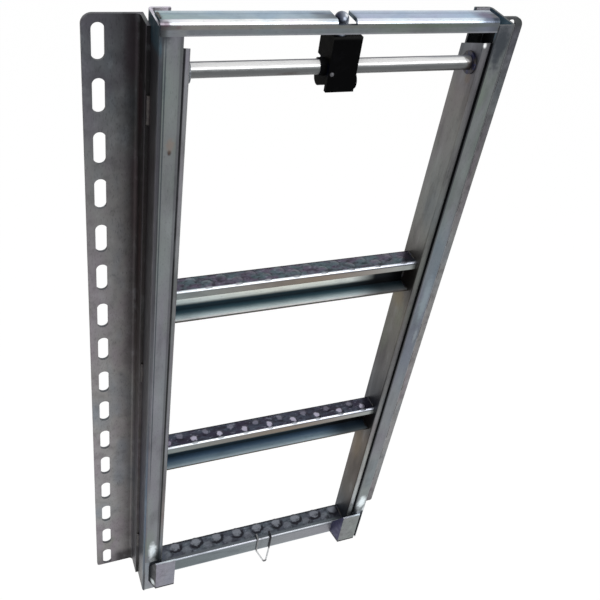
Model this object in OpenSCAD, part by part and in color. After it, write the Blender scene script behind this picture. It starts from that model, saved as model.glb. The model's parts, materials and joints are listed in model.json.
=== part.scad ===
// Slide-out step ladder: a fixed frame of two guide rails on slotted mounting angles,
// and a ladder that drops down inside the rails, held up by a latch under the top bar.
// X runs along the treads, Y away from the user, Z up. The mounting plane is Y = 0.

/* [Guide rails] */
// Width over the outer faces of the two guide rails
frame_w = 408; // [360:1:560]
// Length of a guide rail
rail_len = 995; // [940:1:1300]
// Distance from the mounting plane to the face of a guide rail's lip
rail_reach = 74; // [68:0.5:90]
// Sheet thickness of a guide rail
rail_t = 3; // [2:0.5:3.5]
// Outer radius of a guide rail's bends
rail_bend_r = 5; // [4:0.5:7]
// Width of a guide rail's lip and back wall
lip_w = 23.5; // [18:0.5:26]

/* [Mounting angles] */
// Length of the left mounting angle
angle_len = 982; // [950:1:1200]
// Distance that the right angle's top stands below the left one's
angle_step = 6; // [0:1:7]
// Reach of the slotted flange beyond the guide rail
flange_reach = 64; // [54:1:90]
// Depth of the leg that is welded to the guide rail
leg_depth = 35; // [30:1:50]
// Thickness of a mounting angle
angle_t = 4; // [3:0.5:6]
// Inner root radius of a mounting angle
root_r = 5; // [3:0.5:8]
// Rounded corner at the flange's top
top_r = 12; // [6:1:18]
// Rounded corner at the flange's bottom
corner_r = 4; // [2:1:12]

/* [Mounting slots] */
// Width of a slot, for a 12 mm bolt
slot_w = 14; // [11:0.5:17]
// Length of a slot from end to end
slot_len = 41; // [30:1:42]
// Distance from the slots' line to the flange's outer edge
slot_edge = 17; // [13:0.5:26]
// Distance from the left flange's top to the first slot's centre
slot_top = 29.3; // [29:0.1:40]
// Distance from a flange's bottom to the last slot's centre
slot_bottom = 21.4; // [21.4:0.1:40]
// Distance between the two slots of a pair
slot_pitch = 60.5; // [54:0.5:62]
// Number of slot pairs on each flange
slot_pairs = 8; // [4:1:8]

/* [Top cross-bar] */
// Depth of the cross-bar's top leg
bar_depth = 25.5; // [24:0.5:40]
// Height of the cross-bar's front leg
bar_h = 15.5; // [14:0.5:24]
// Thickness of the cross-bar
bar_t = 4; // [3:0.5:5]
// Outer radius of the cross-bar's bend
bar_r = 5; // [5:0.5:8]
// Height of the cross-bar's top above the guide rails
bar_rise = 7.3; // [5:0.1:9]
// Width of the latch notch in the cross-bar
notch_w = 22; // [22:0.5:40]
// Height of the front leg that is left under the latch notch
notch_floor = 10; // [6:0.5:10]

/* [Stiles] */
// Width of a stile
stile_w = 29; // [26:0.5:34]
// Depth of a stile
stile_depth = 48; // [44:0.5:50]
// Sheet thickness of a stile
stile_t = 2.5; // [2:0.5:4]
// Outer radius of a stile's bends
stile_bend_r = 4; // [4:0.5:6]
// Gap between the stiles' top and the cross-bar when the ladder is up
head_gap = 13.8; // [10:0.1:20]
// Distance that the stiles reach below the guide rails when the ladder is up
stile_low = 3; // [0:0.5:10]
// Length of the slope cut at the back of a stile's top
stile_cut = 20; // [10:1:30]
// Clearance between a stile and its guide rail
guide_gap = 0.6; // [0.4:0.1:1]

/* [Treads] */
// Distance from one tread to the next
step_pitch = 300; // [250:1:300]
// Height of the bottom tread's top above the stiles' bottom
bottom_tread_h = 55; // [45:1:70]
// Depth of an upper tread's top
tread_depth = 26.5; // [26:0.5:34]
// Distance from a stile's front face to an upper tread's front edge
tread_set = 10; // [6:0.5:12]
// Height of an upper tread
tread_h = 54; // [40:0.5:60]
// Height of an upper tread's front lip
tread_lip = 12.5; // [8:0.5:20]
// Depth of an upper tread's lower flange
tread_foot = 24; // [14:0.5:26]
// Depth of the bottom tread's top
low_depth = 34; // [32:0.5:38]
// Distance from a stile's front face to the bottom tread's front edge
low_set = 8; // [6:0.5:10]
// Height of the bottom tread
low_h = 30.5; // [28:0.5:40]
// Sheet thickness of a tread
tread_t = 2.5; // [2:0.5:3]
// Outer radius of a tread's nosing
nose_r = 4; // [3:0.5:5]

/* [Tread dimples] */
// Diameter of a raised dimple
dimple_d = 15; // [10:0.5:16]
// Height of a raised dimple
dimple_h = 1.6; // [1:0.1:2.2]
// Distance from one dimple to the next in a row
dimple_pitch = 40; // [34:1:42]
// Number of dimples in a row
dimple_count = 8; // [4:1:8]
// Distance from a tread's front edge to its front row
dimple_in = 9; // [8:0.5:10]
// Distance between the two rows of an upper tread
dimple_row = 8.5; // [8:0.5:9]
// Distance between the two rows of the bottom tread
low_row = 12; // [9:0.5:12]
// Distance from the bottom tread's front edge to its front row
low_in = 14; // [12:0.5:14]
// Distance from one dimple to the next on the bottom tread
low_pitch = 37.5; // [34:0.5:40]
// Shift of the rows along an upper tread
dimple_shift = 2.5; // [-8:0.5:8]
// Shift of the rows along the bottom tread
low_shift = 0; // [-8:0.5:8]

/* [Grab rod] */
// Diameter of the grab rod
rod_d = 17; // [14:0.5:20]
// Distance from the stiles' top down to the grab rod's centre
rod_drop = 31; // [28:0.5:40]
// Distance from a stile's front face to the grab rod's centre
rod_set = 18; // [17:0.5:22]
// Diameter of the weld ring where the grab rod meets a stile
ring_d = 27; // [24:0.5:34]
// Height of a weld ring
ring_h = 2.5; // [2:0.5:5]

/* [Latch] */
// Width of the latch body
latch_w = 34; // [30:1:60]
// Distance from the rod's centre to the latch body's front
latch_front = 14.6; // [13:0.2:16]
// Distance from the rod's centre to the back of the latch body's head
latch_back = 20; // [16:0.5:24]
// Height of the latch body's neck above the rod's centre
latch_neck = 7; // [4:0.5:12]
// Distance from the rod's centre to the neck's back
neck_back = 12.5; // [12.5:0.5:14]
// Diameter of the collar round the rod on the latch body's left side
collar_d = 20; // [19:0.5:24]
// Length of the collar
collar_h = 7; // [4:0.5:16]
// Height of the gap between the latch body and the cross-bar
latch_gap = 5.8; // [5:0.1:8]
// Distance from the rod's centre to the top of the finger lever
lever_top = 9; // [9:0.5:12]
// Distance from the rod's centre to the finger lever's bottom
lever_low = 24; // [22:0.5:30]
// Depth of the finger lever's front plate
lever_plate = 5; // [3:0.5:8]
// Distance from the rod's centre to the lever's underside just behind the plate
lever_step = 16.5; // [12:0.5:20]
// Diameter of the finger lever's rounded back
lobe_d = 18; // [12:0.5:20]
// Distance from the rod's centre to the middle of the lever's rounded back
lobe_back = 12; // [8:0.5:14]
// Diameter of the knob on the lever's right side
knob_d = 20; // [12:0.5:22]
// Height of the knob
knob_h = 2.5; // [2:0.5:6]
// Distance from the rod's centre down to the knob's centre
knob_drop = 14.5; // [12:0.5:18]
// Diameter of the bolt that stands in the notch
bolt_d = 16; // [12:0.5:16]
// Distance from the rod's centre forward to the bolt's centre
bolt_set = 4.6; // [2:0.2:4.6]
// Rise of the bolt's round end above the cross-bar
bolt_rise = 2.5; // [0:0.5:4]
// Clearance round the rod in the latch's bore
bore_gap = 0.3; // [0.2:0.1:0.6]
// Offset of the latch body from the middle of the ladder
latch_x = 0.5; // [-40:0.5:40]
// Offset of the bolt from the middle of the ladder
bolt_x = -7; // [-12:0.5:12]

/* [Front brackets] */
// Width of a bracket's front plate
bracket_w = 32; // [26:1:36]
// Distance from a stile's inner face to the front plate's inner edge
bracket_in = 17.4; // [10:0.2:24]
// Distance that the side plates flare towards the middle of the ladder
flare_in = 5; // [0:0.5:10]
// Distance that the side plates flare towards the guide rail
flare_out = 8; // [0:0.5:10]
// Distance that a bracket stands proud of the guide rail's lip
bracket_proud = 14; // [10:0.5:20]
// Height of a bracket's top above the bottom tread's top
bracket_rise = 42; // [30:1:50]
// Depth of a bracket's bottom below the bottom tread's top
bracket_drop = 26; // [20:0.5:28]
// Sheet thickness of a bracket
bracket_t = 3; // [2:0.5:4]
// Thickness of the rubber strip under a bracket
strip_t = 3.5; // [2:0.5:6]
// Clearance between a bracket and the end of a guide rail's lip
slide_gap = 5; // [5:0.5:10]

/* [Pull loop] */
// Diameter of the pull loop's wire
loop_d = 3; // [2:0.5:4]
// Width of the pull loop
loop_w = 25; // [14:1:36]
// Drop of the pull loop below the bottom tread's top
loop_drop = 72; // [60:1:90]
// Reach of the pull loop's ends over the bottom tread's top
loop_hook = 13; // [8:0.5:16]
// Clearance between the pull loop's ends and the dimples
loop_lift = 0.2; // [0.1:0.1:1]
// Offset of the pull loop from the middle of the ladder
loop_x = 15.5; // [-60:0.5:60]

/* [Welds] */
// Length of a stitch weld
weld_len = 34; // [20:1:60]
// Leg size of a stitch weld
weld_leg = 3; // [2:0.5:3.5]
// Distance from the angle's top to the first stitch weld's middle
weld_first = 92; // [60:1:140]
// Distance from one stitch weld to the next
weld_pitch = 395; // [200:1:400]

/* [Hidden] */
$fn = 48;
cut = 1;
seat = 0.05;
guide_depth = stile_depth + 2 * guide_gap + 2 * rail_t;

web_x = frame_w / 2;
lip_x = web_x - lip_w;
lip_front = -rail_reach;
bar_top = rail_len + bar_rise;
bar_low = bar_top - bar_h;

flange_x = web_x + flange_reach;
slot_x = flange_x - slot_edge;
first_slot_z = angle_len - slot_top;
pair_pitch = (first_slot_z - slot_bottom - slot_pitch) / (slot_pairs - 1);

stile_out = web_x - rail_t - guide_gap;
stile_in = stile_out - stile_w;
stile_front = lip_front + rail_t + guide_gap;
stile_back = stile_front + stile_depth;
stile_top = bar_low - head_gap;

low_tread_z = bottom_tread_h - stile_low;
mid_tread_z = low_tread_z + step_pitch;
top_tread_z = mid_tread_z + step_pitch;
tread_front = stile_front + tread_set;
low_front = stile_front + low_set;
dimple_r = (pow(dimple_d / 2, 2) + pow(dimple_h, 2)) / (2 * dimple_h);

rod_y = stile_front + rod_set;
rod_z = stile_top - rod_drop;
bolt_y = rod_y - bolt_set;

bracket_x = stile_in - bracket_in;
bracket_front = lip_front - bracket_proud;
bracket_top = low_tread_z + bracket_rise;
bracket_low = low_tread_z - bracket_drop;
// The side plates' top edge slopes down from the front plate to the bottom tread's edge
slope = bracket_rise / (low_front - bracket_front - bracket_t);
// A lip ends clear of that slope
lip_end = bracket_top - slope * (bracket_proud - bracket_t) + slide_gap * sqrt(1 + pow(slope, 2));

// The origin is on the back of the left flange, on its slots' line, midway up the slots
origin = [-slot_x, 0, (first_slot_z + slot_bottom) / 2];

module placed() translate(-origin) children();

// Puts a right-hand piece on the left when side is -1
module on_side(side) {
    if (side < 0) mirror([1, 0, 0]) children();
    else children();
}

// One box from its lowest to its highest corner
module block(low, high) translate(low) cube(high - low);

// Rounded channel in X and Y: open at X = 0, with its web at X = w
module channel_outline(w, d, t, r) {
    ri = r - t;
    difference() {
        union() {
            translate([0, r]) square([w, d - 2 * r]);
            square([w - r, d]);
            for (y = [r, d - r]) translate([w - r, y]) circle(r);
        }
        translate([-cut, t + ri]) square([w - t + cut, d - 2 * t - 2 * ri]);
        translate([-cut, t]) square([w - t - ri + cut, d - 2 * t]);
        for (y = [t + ri, d - t - ri]) translate([w - t - ri, y]) circle(ri);
    }
}

module guide_rail(side) {
    lip_back = lip_front + rail_t;
    color([0.66, 0.68, 0.70]) placed() on_side(side) difference() {
        translate([lip_x, lip_front, 0]) linear_extrude(rail_len)
            channel_outline(lip_w, guide_depth, rail_t, rail_bend_r);
        // No lip on the bottom stretch
        block([lip_x - cut, lip_front - cut, -cut], [web_x - rail_t, lip_back + cut, lip_end]);
        // Seat of the cross-bar's front leg, which runs over the left rail only
        if (side < 0) block([lip_x - cut, lip_front - cut, bar_low],
            [web_x + cut, lip_front + bar_t, rail_len + cut]);
    }
}

// Slotted flange and welded leg of the angle, with a rounded root
module mounting_angle(side) {
    leg_x = web_x + angle_t;
    top = side < 0 ? angle_len : angle_len - angle_step;
    color([0.45, 0.46, 0.48]) placed() on_side(side) difference() {
        union() {
            block([web_x, -angle_t, 0], [flange_x, 0, top]);
            block([web_x, -leg_depth, 0], [leg_x, -angle_t, top]);
            difference() {
                block([leg_x, -angle_t - root_r, 0], [leg_x + root_r, -angle_t, top]);
                translate([leg_x + root_r, -angle_t - root_r, -cut]) cylinder(r = root_r, h = top + 2 * cut);
            }
        }
        for (pair = [0 : slot_pairs - 1], half = [0, 1])
            translate([slot_x, 0, first_slot_z - pair * pair_pitch - half * slot_pitch]) slot_cut();
        // Rounded corner at the top
        difference() {
            block([flange_x - top_r, -angle_t - cut, top - top_r], [flange_x + cut, cut, top + cut]);
            translate([flange_x - top_r, 2 * cut, top - top_r]) rotate([90, 0, 0])
                cylinder(r = top_r, h = angle_t + 4 * cut);
        }
        // Rounded corner at the bottom
        difference() {
            block([flange_x - corner_r, -angle_t - cut, -cut], [flange_x + cut, cut, corner_r]);
            translate([flange_x - corner_r, 2 * cut, corner_r]) rotate([90, 0, 0])
                cylinder(r = corner_r, h = angle_t + 4 * cut);
        }
    }
}

// Upright slot through the flange
module slot_cut() {
    run = slot_len - slot_w;
    for (end = [-1, 1]) translate([0, cut, end * run / 2]) rotate([90, 0, 0])
        cylinder(d = slot_w, h = angle_t + 2 * cut);
    block([-slot_w / 2, -angle_t - cut, -run / 2], [slot_w / 2, cut, run / 2]);
}

// Three short fillet welds in the corner between the leg's edge and the rail's web
module stitch_welds(side) {
    color([0.62, 0.60, 0.56]) placed() on_side(side)
        for (i = [0 : 2]) translate([web_x, -leg_depth, angle_len - weld_first - i * weld_pitch])
            intersection() {
                translate([0, 0, -weld_len / 2]) cylinder(r = weld_leg, h = weld_len);
                block([0, -weld_leg, -weld_len / 2], [weld_leg, 0, weld_len / 2]);
            }
}

// Bent angle that closes the frame at the top: over the left rail, up to the right rail's lip
module top_crossbar() {
    color([0.68, 0.70, 0.73]) placed() difference() {
        translate([-web_x, 0, 0]) rotate([90, 0, 90]) linear_extrude(web_x + lip_x) bar_outline();
        // Latch notch, open at the back
        block([bolt_x - notch_w / 2, lip_front - cut, bar_low + notch_floor],
            [bolt_x + notch_w / 2, lip_front + bar_depth + cut, bar_top + cut]);
    }
}

module bar_outline() {
    ri = bar_r - bar_t;
    back = lip_front + bar_depth;
    difference() {
        union() {
            translate([lip_front + bar_r, bar_top - bar_t]) square([bar_depth - bar_r, bar_t]);
            translate([lip_front, bar_low]) square([bar_t, bar_h - bar_r]);
            translate([lip_front + bar_r, bar_top - bar_r]) circle(bar_r);
        }
        translate([lip_front + bar_r, bar_top - bar_r]) circle(ri);
        translate([lip_front + bar_t, bar_low - cut]) square([bar_r - bar_t, bar_h - bar_r + cut]);
        translate([lip_front + bar_r, bar_low - cut]) square([back - lip_front, bar_h - bar_t + cut]);
    }
}

// Channel stile: its web faces the treads and its flanges run in the guide rail
module stile(side) {
    color([0.60, 0.58, 0.56]) placed() on_side(side) difference() {
        translate([stile_out, stile_front, -stile_low]) mirror([1, 0, 0])
            linear_extrude(stile_top + stile_low)
            channel_outline(stile_w, stile_depth, stile_t, stile_bend_r);
        // Sloped cut at the back of the top
        translate([stile_in - cut, stile_back, stile_top - stile_cut])
            rotate([-atan2(stile_cut, stile_depth), 0, 0])
            translate([0, -2 * stile_depth, 0]) cube([stile_w + 2 * cut, 3 * stile_depth, stile_cut * 3]);
    }
}

// Pressed tread: dimpled top with a front lip, a back web and a lower flange;
// rows holds the dimples' pitch, first row, distance between the rows and shift
module tread(top_z, front, depth, h, lip, foot, rows) {
    ri = nose_r - tread_t;
    back = front + depth;
    color([0.44, 0.43, 0.47]) placed() union() {
        translate([-stile_in, 0, 0]) rotate([90, 0, 90]) linear_extrude(2 * stile_in) difference() {
            union() {
                translate([front + nose_r, top_z - tread_t]) square([depth - nose_r, tread_t]);
                translate([front, top_z - lip]) square([tread_t, lip - nose_r]);
                translate([front + nose_r, top_z - nose_r]) circle(nose_r);
                translate([back - tread_t, top_z - h]) square([tread_t, h]);
                translate([back - foot, top_z - h]) square([foot, tread_t]);
            }
            translate([front + nose_r, top_z - nose_r]) circle(ri);
            translate([front + tread_t, top_z - lip]) square([ri, lip - nose_r]);
            translate([front + nose_r, top_z - 2 * nose_r]) square([nose_r, 2 * nose_r - tread_t]);
        }
        // Two staggered rows of dimples
        for (row = [0, 1], i = [0 : dimple_count - 1])
            translate([rows[3] + ((0.5 - row) / 2 + i - (dimple_count - 1) / 2) * rows[0],
                front + rows[1] + row * rows[2], top_z]) dimple();
    }
}

module step_tread(top_z)
    tread(top_z, tread_front, tread_depth, tread_h, tread_lip, tread_foot,
        [dimple_pitch, dimple_in, dimple_row, dimple_shift]);

module bottom_tread()
    tread(low_tread_z, low_front, low_depth, low_h, low_h, tread_t,
        [low_pitch, low_in, low_row, low_shift]);

// Raised round dimple, a cap of a sphere
module dimple() {
    translate([0, 0, dimple_h - dimple_r]) intersection() {
        sphere(dimple_r);
        block([-dimple_d, -dimple_d, dimple_r - 1.5 * dimple_h], [dimple_d, dimple_d, dimple_r + cut]);
    }
}

module grab_rod() {
    reach = stile_in - seat;
    color([0.72, 0.73, 0.74]) placed() translate([-reach, rod_y, rod_z]) rotate([0, 90, 0])
        cylinder(d = rod_d, h = 2 * reach);
}

// Flat ring of weld round the rod against the stile
module weld_ring(side) {
    color([0.30, 0.29, 0.28]) placed() on_side(side) difference() {
        translate([stile_in - ring_h, rod_y, rod_z]) rotate([0, 90, 0]) cylinder(d = ring_d, h = ring_h);
        translate([stile_in - ring_h - cut, rod_y, rod_z]) rotate([0, 90, 0])
            cylinder(d = rod_d + 2 * seat, h = ring_h + 2 * cut);
    }
}

// Points of a bracket's plan from the tread, round the front plate, to the stile
function bracket_plan(inset) = [
    [bracket_x - flare_in + inset, low_front],
    [bracket_x + inset, bracket_front + inset],
    [bracket_x + bracket_w - inset, bracket_front + inset],
    [bracket_x + bracket_w + flare_out - inset, stile_front]];

function reversed(points) = [for (i = [len(points) - 1 : -1 : 0]) points[i]];

// Folded bracket in front of the stile: front plate, two flared side plates and a bottom plate
module front_bracket(side) {
    color([0.62, 0.62, 0.66]) placed() on_side(side) union() {
        difference() {
            translate([0, 0, bracket_low]) linear_extrude(bracket_top - bracket_low)
                polygon(concat(bracket_plan(0), reversed(bracket_plan(bracket_t))));
            // Sloped top edge of the side plates
            translate([bracket_x - flare_in - cut, bracket_front + bracket_t, bracket_top])
                rotate([-atan(slope), 0, 0]) cube([bracket_w + flare_in + flare_out + 2 * cut,
                    3 * bracket_rise, 2 * bracket_rise]);
        }
        translate([0, 0, bracket_low]) linear_extrude(bracket_t) bottom_plan();
    }
}

module bottom_plan() polygon(concat(bracket_plan(0), [[stile_in, stile_front], [stile_in, low_front]]));

// Rubber strip under a bracket's bottom plate
module rubber_strip(side) {
    color([0.16, 0.16, 0.17]) placed() on_side(side)
        translate([0, 0, bracket_low - strip_t]) linear_extrude(strip_t) bottom_plan();
}

// Wire loop that hangs in front of the bottom tread, with its ends hooked over the top
module pull_loop() {
    r = loop_w / 2;
    top = low_tread_z + dimple_h + loop_lift + loop_d / 2;
    low = low_tread_z - loop_drop + r;
    wire_y = low_front - loop_d / 2;
    color([0.55, 0.50, 0.46]) placed() translate([loop_x, wire_y, 0]) {
        for (end = [-1, 1]) translate([end * r, 0, 0]) {
            translate([0, 0, low]) cylinder(d = loop_d, h = top - low);
            translate([0, 0, top]) sphere(d = loop_d);
            translate([0, 0, top]) rotate([-90, 0, 0]) cylinder(d = loop_d, h = loop_hook);
        }
        translate([0, 0, low]) rotate([90, 0, 0]) intersection() {
            rotate_extrude() translate([r, 0]) circle(d = loop_d);
            block([-loop_w, -loop_w, -loop_d], [loop_w, 0, loop_d]);
        }
    }
}

// Bore for the grab rod through a piece of the latch
module latch_bore() translate([-latch_w, 0, 0]) rotate([0, 90, 0])
    cylinder(d = rod_d + 2 * bore_gap, h = 2 * latch_w);

// Head and neck of the latch, which turns on the grab rod
module latch_body() {
    head_top = bar_low - latch_gap - rod_z;
    color([0.07, 0.07, 0.08]) placed() translate([latch_x, rod_y, rod_z]) difference() {
        union() {
            block([-latch_w / 2, -latch_front, latch_neck], [latch_w / 2, latch_back, head_top]);
            block([-latch_w / 2, -latch_front, -lever_top], [latch_w / 2, neck_back, latch_neck]);
            translate([-latch_w / 2 - collar_h, 0, 0]) rotate([0, 90, 0])
                cylinder(d = collar_d, h = collar_h);
        }
        latch_bore();
    }
}

// Finger lever under the latch body: a front plate, a rounded lobe behind it and a
// round knob on the right side, flush with the front
module latch_lever() {
    lobe_z = -lever_top - lobe_d / 2;
    plate_back = lever_plate - latch_front;
    color([0.08, 0.08, 0.09]) placed() translate([latch_x, rod_y, rod_z]) difference() {
        union() {
            block([-latch_w / 2, -latch_front, -lever_low], [latch_w / 2, plate_back, -lever_top]);
            hull() {
                block([-latch_w / 2, plate_back, -lever_step], [latch_w / 2, lobe_back, -lever_top]);
                translate([-latch_w / 2, lobe_back, lobe_z]) rotate([0, 90, 0])
                    cylinder(d = lobe_d, h = latch_w, $fn = 32);
            }
            translate([latch_w / 2, knob_d / 2 - latch_front, -knob_drop]) rotate([0, 90, 0])
                cylinder(d = knob_d, h = knob_h);
        }
        latch_bore();
    }
}

// Round-ended steel bolt that stands in the cross-bar's notch
module latch_bolt() {
    head_top = bar_low - latch_gap;
    shank = bar_top + bolt_rise - head_top - bolt_d / 2;
    color([0.55, 0.56, 0.58]) placed() translate([bolt_x, bolt_y, head_top]) {
        cylinder(d = bolt_d, h = shank);
        translate([0, 0, shank]) sphere(d = bolt_d);
    }
}

guide_rail(-1);  // left_guide_rail
guide_rail(1);  // right_guide_rail
mounting_angle(-1);  // left_mounting_angle
mounting_angle(1);  // right_mounting_angle
stitch_welds(-1);  // left_stitch_welds
stitch_welds(1);  // right_stitch_welds
top_crossbar();
stile(-1);  // left_stile
stile(1);  // right_stile
step_tread(top_tread_z);  // upper_tread
step_tread(mid_tread_z);  // middle_tread
bottom_tread();
grab_rod();
weld_ring(-1);  // left_weld_ring
weld_ring(1);  // right_weld_ring
front_bracket(-1);  // left_front_bracket
front_bracket(1);  // right_front_bracket
rubber_strip(-1);  // left_rubber_strip
rubber_strip(1);  // right_rubber_strip
pull_loop();
latch_body();
latch_lever();
latch_bolt();
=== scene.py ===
import json
import math
import random

import bmesh
import bpy
from mathutils import Matrix, Vector


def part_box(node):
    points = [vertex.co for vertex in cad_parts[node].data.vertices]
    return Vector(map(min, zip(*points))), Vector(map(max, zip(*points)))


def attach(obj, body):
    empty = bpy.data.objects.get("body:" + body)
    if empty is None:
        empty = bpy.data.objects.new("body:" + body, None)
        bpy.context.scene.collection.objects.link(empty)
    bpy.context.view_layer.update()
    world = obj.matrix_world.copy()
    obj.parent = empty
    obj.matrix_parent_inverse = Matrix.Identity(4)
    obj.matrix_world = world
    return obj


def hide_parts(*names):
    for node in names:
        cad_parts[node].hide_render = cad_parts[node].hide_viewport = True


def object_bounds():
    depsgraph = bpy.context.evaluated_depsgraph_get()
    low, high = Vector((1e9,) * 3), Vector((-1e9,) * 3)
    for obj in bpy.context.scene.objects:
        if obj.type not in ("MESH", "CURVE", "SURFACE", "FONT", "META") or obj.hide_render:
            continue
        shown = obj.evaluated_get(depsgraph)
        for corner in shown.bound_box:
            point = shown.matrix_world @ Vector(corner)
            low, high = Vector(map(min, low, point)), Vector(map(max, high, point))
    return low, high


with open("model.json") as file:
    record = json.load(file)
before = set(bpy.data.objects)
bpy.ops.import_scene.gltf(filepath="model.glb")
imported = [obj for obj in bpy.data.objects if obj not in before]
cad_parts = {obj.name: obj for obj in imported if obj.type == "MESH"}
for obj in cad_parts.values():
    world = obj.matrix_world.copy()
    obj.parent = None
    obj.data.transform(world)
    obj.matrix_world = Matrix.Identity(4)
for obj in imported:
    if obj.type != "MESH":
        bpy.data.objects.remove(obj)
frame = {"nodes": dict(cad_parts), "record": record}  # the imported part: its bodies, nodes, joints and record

cadLow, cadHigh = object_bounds()
scene = bpy.context.scene
random.seed(11)

leftLow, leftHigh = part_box("left_mounting_angle")
rightLow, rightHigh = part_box("right_mounting_angle")
railLow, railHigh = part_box("left_guide_rail")
barLow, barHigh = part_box("top_crossbar")

# Middle of the frame on its mounting plane, level with the rails' lower ends.
# Places further down are in millimetres from here: across, depth and up.
home = Vector(((leftLow.x + rightHigh.x) / 2, leftHigh.y, railLow.z))


def spot(across, depth, up):
    return home + Vector((across, depth, up)) / 1000


# Camera, where the photographer stood, counted from the top of the cross-bar over the mounting plane
cameraSet = {
    "lens": 49.03,
    "place": (-0.392, -0.8195, 0.3052),
    "right": (0.9252, -0.3532, 0.1386),
    "down": (-0.1277, -0.6338, -0.7629),
    "ahead": (0.3573, 0.6881, -0.6315),
}


def addCamera(values):
    middle = Vector((home.x, home.y, barHigh.z))
    right, down, ahead = (Vector(values[k]).normalized() for k in ("right", "down", "ahead"))
    turn = Matrix((right, -down, -ahead)).transposed().to_4x4()
    data = bpy.data.cameras.new("camera")
    data.lens = values["lens"]
    data.sensor_width = 36
    data.clip_start, data.clip_end = 0.05, 50
    camera = bpy.data.objects.new("camera", data)
    scene.collection.objects.link(camera)
    camera.matrix_world = Matrix.Translation(middle + Vector(values["place"])) @ turn
    scene.camera = camera


# Shader maths
def tone(code):
    # six hex digits as a colour picker shows them, turned into the shader's linear values
    parts = [int(code[i:i + 2], 16) / 255 for i in (0, 2, 4)]
    return tuple(p / 12.92 if p <= 0.04045 else ((p + 0.055) / 1.055) ** 2.4 for p in parts) + (1.0,)


class Val:
    # a socket that can stand in a sum
    def __init__(self, shade, socket):
        self.shade, self.socket = shade, socket

    def out(self, index):
        return Val(self.shade, self.socket.node.outputs[index])

    def maths(self, operation, first, second):
        return self.shade.node("Math", {"operation": operation}, {0: first, 1: second})

    def __add__(self, other):
        return self.maths("ADD", self, other)

    def __radd__(self, other):
        return self.maths("ADD", other, self)

    def __sub__(self, other):
        return self.maths("SUBTRACT", self, other)

    def __rsub__(self, other):
        return self.maths("SUBTRACT", other, self)

    def __mul__(self, other):
        return self.maths("MULTIPLY", self, other)

    def __rmul__(self, other):
        return self.maths("MULTIPLY", other, self)

    def __truediv__(self, other):
        return self.maths("DIVIDE", self, other)

    def __rtruediv__(self, other):
        return self.maths("DIVIDE", other, self)

    def __pow__(self, other):
        return self.maths("POWER", self, other)

    def __rpow__(self, other):
        return self.maths("POWER", other, self)


class Shade:
    # one material, and the nodes it is made of
    def __init__(self, name, side=1):
        self.material = bpy.data.materials.new(name)
        self.material.use_nodes = True
        self.tree = self.material.node_tree
        self.tree.nodes.clear()
        objectPlace = self.node("TexCoord", out=3)
        fromHome = self.node("VectorMath", {"operation": "SUBTRACT"}, {0: objectPlace, 1: tuple(home)})
        self.where = self.node("VectorMath", {"operation": "SCALE"}, {0: fromHome, "Scale": 1000.0})
        split = self.node("SeparateXYZ", {}, {0: self.where})
        self.across, self.depth, self.up = split * side, split.out(1), split.out(2)
        normal = self.node("SeparateXYZ", {}, {0: objectPlace.out(1)})
        self.faceAcross, self.faceDepth, self.faceUp = normal * side, normal.out(1), normal.out(2)

    def node(self, kind, settings=None, sockets=None, out=0):
        made = self.tree.nodes.new("ShaderNode" + kind)
        for key, value in (settings or {}).items():
            if key == "stops":
                self.setStops(made.color_ramp, value)
            else:
                setattr(made, key, value)
        for key, value in (sockets or {}).items():
            if isinstance(value, Val):
                self.tree.links.new(value.socket, made.inputs[key])
            else:
                made.inputs[key].default_value = value
        return Val(self, made.outputs[out]) if len(made.outputs) else None

    def setStops(self, ramp, stops):
        while len(ramp.elements) < len(stops):
            ramp.elements.new(1.0)
        for element, (place, colour) in zip(ramp.elements, stops):
            element.position = place
            element.color = colour

    def rise(self, value, low, high):
        # 0 before low, 1 after high
        return self.node("MapRange", {"interpolation_type": "SMOOTHSTEP"}, {0: value, 1: low, 2: high})

    def band(self, value, low, high, soft):
        return self.rise(value, low - soft, low + soft) * self.rise(value, high + soft, high - soft)

    def mix(self, mask, under, over, kind="MIX"):
        return self.node("Mix", {"data_type": "RGBA", "blend_type": kind}, {0: mask, 6: under, 7: over}, 2)

    def noise(self, size, stretch=(1, 1, 1), detail=3.0, seed=0.0):
        # size is how many millimetres one blotch takes
        where = self.node("VectorMath", {"operation": "MULTIPLY_ADD"},
                          {0: self.where, 1: tuple(k / size for k in stretch), 2: (seed * 7.3, seed * 3.1, seed * 5.7)})
        return self.node("TexNoise", {}, {"Vector": where, "Scale": 1.0, "Detail": detail, "Roughness": 0.55})

    def along(self, value, stops):
        # a run of tones over a length, from (place, tone) pairs, or one tone all over
        if isinstance(stops, str):
            return tone(stops)
        low, high = stops[0][0], stops[-1][0]
        return self.node("ValToRGB", {"stops": [((p - low) / (high - low), tone(c)) for p, c in stops]},
                         {0: (value - low) / (high - low)})

    def mark(self, centre, reach):
        # 1 at a point, fading to 0 at its reach, with a broken edge
        gap = self.node("VectorMath", {"operation": "SUBTRACT"}, {0: self.where, 1: centre})
        scaled = self.node("VectorMath", {"operation": "DIVIDE"}, {0: gap, 1: reach})
        far = self.node("VectorMath", {"operation": "LENGTH"}, {0: scaled}, 1)
        return self.rise(far + self.noise(5, detail=2.0, seed=centre[2]) * 0.6, 1.25, 0.55)

    def finish(self, base, metallic, rough, height=None, lift=0.0001, gloss=0.5, ior=1.5):
        sockets = {"Base Color": base, "Metallic": metallic, "Roughness": rough, "Specular IOR Level": gloss, "IOR": ior}
        if height is not None:
            sockets["Normal"] = self.node("Bump", {}, {"Strength": 1.0, "Distance": lift, "Height": height})
        surface = self.node("BsdfPrincipled", {}, sockets)
        self.node("OutputMaterial", {}, {"Surface": surface})
        return self.material


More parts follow.
